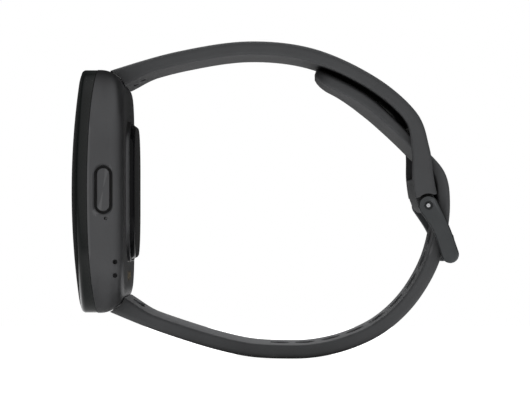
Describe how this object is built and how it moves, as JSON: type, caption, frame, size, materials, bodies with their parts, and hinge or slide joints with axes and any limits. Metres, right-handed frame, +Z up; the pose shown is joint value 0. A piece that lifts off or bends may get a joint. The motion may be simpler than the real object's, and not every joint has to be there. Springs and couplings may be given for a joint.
{
  "type": "fitness tracker band",
  "caption": "Wrist fitness tracker: square case with domed glass and sensor bump, soft two-part strap closed into an oval by a hinged loop and peg",
  "frame": {"origin": "on the centre of the band's footprint, at its lowest point, with the band standing on its edge as an upright ring", "axes": "+X from the display to the closure, +Z up along the case, Y across the band, with the side button on the -Y side"},
  "size_m": [0.0648, 0.04, 0.0531],
  "materials": {
    "frame_metal": "satin anodised graphite aluminium",
    "display_glass": "glossy black cover glass with black printed back",
    "gasket_black": "matt black seal",
    "panel_black": "dark display panel",
    "flex_amber": "amber flexible circuit",
    "sensor_crystal": "glossy black sensor window",
    "board_green": "circuit board",
    "led_green": "green and infrared emitters",
    "gold": "gold-plated contacts",
    "tray_plastic": "moulded tray",
    "battery_foil": "foil pouch cell",
    "board_blue": "circuit board",
    "chip_black": "chip packages",
    "steel": "small steel parts",
    "module_grey": "moulded module housing",
    "mesh_grey": "acoustic mesh",
    "strap_rubber": "soft-touch charcoal elastomer",
    "buckle_metal": "satin graphite aluminium",
    "pin_steel": "polished steel pin"
  },
  "bodies": {
    "band": {"case_frame": "frame_metal", "display_glass": "display_glass", "display_gasket": "gasket_black", "display_panel": "panel_black", "display_flex": "flex_amber", "back_crystal": "sensor_crystal", "back_seal": "gasket_black", "sensor_board": "board_green", "sensor_leds": "led_green", "charging_pads": "gold", "inner_tray": "tray_plastic", "battery": "battery_foil", "main_board": "board_blue", "board_chips": "chip_black", "board_screws": "steel", "vibration_motor": "steel", "speaker_module": "module_grey", "port_mesh": "mesh_grey", "microphone": "steel", "button_seal": "gasket_black", "button_switch": "steel", "upper_strap": "strap_rubber", "upper_link": "steel", "lower_strap": "strap_rubber", "lower_link": "steel", "hinge_sleeve": "steel"},
    "button": {"side_button": "frame_metal", "button_clip": "steel"},
    "buckle": {"hinge_pin": "pin_steel", "buckle_loop": "buckle_metal", "buckle_peg": "steel"},
    "upper_key": {"upper_release_key": "tray_plastic"},
    "lower_key": {"lower_release_key": "tray_plastic"}
  },
  "joints": [
    {"name": "side_button_press", "type": "slide", "parent": "band", "child": "button", "axis": [0, 1, 0], "range_m": [0, 0.0004], "stiffness_N_per_m": 2000},
    {"name": "buckle_swing", "type": "hinge", "parent": "band", "child": "buckle", "pos_m": [0.0272, 0, 0.02567], "axis": [0, -1, 0], "range_deg": [0, 65]},
    {"name": "upper_release_press", "type": "slide", "parent": "band", "child": "upper_key", "axis": [-0.2756, 0, 0.9613], "range_m": [0, 0.0005], "stiffness_N_per_m": 1500},
    {"name": "lower_release_press", "type": "slide", "parent": "band", "child": "lower_key", "axis": [-0.3584, 0, -0.9336], "range_m": [0, 0.0005], "stiffness_N_per_m": 1500}
  ]
}
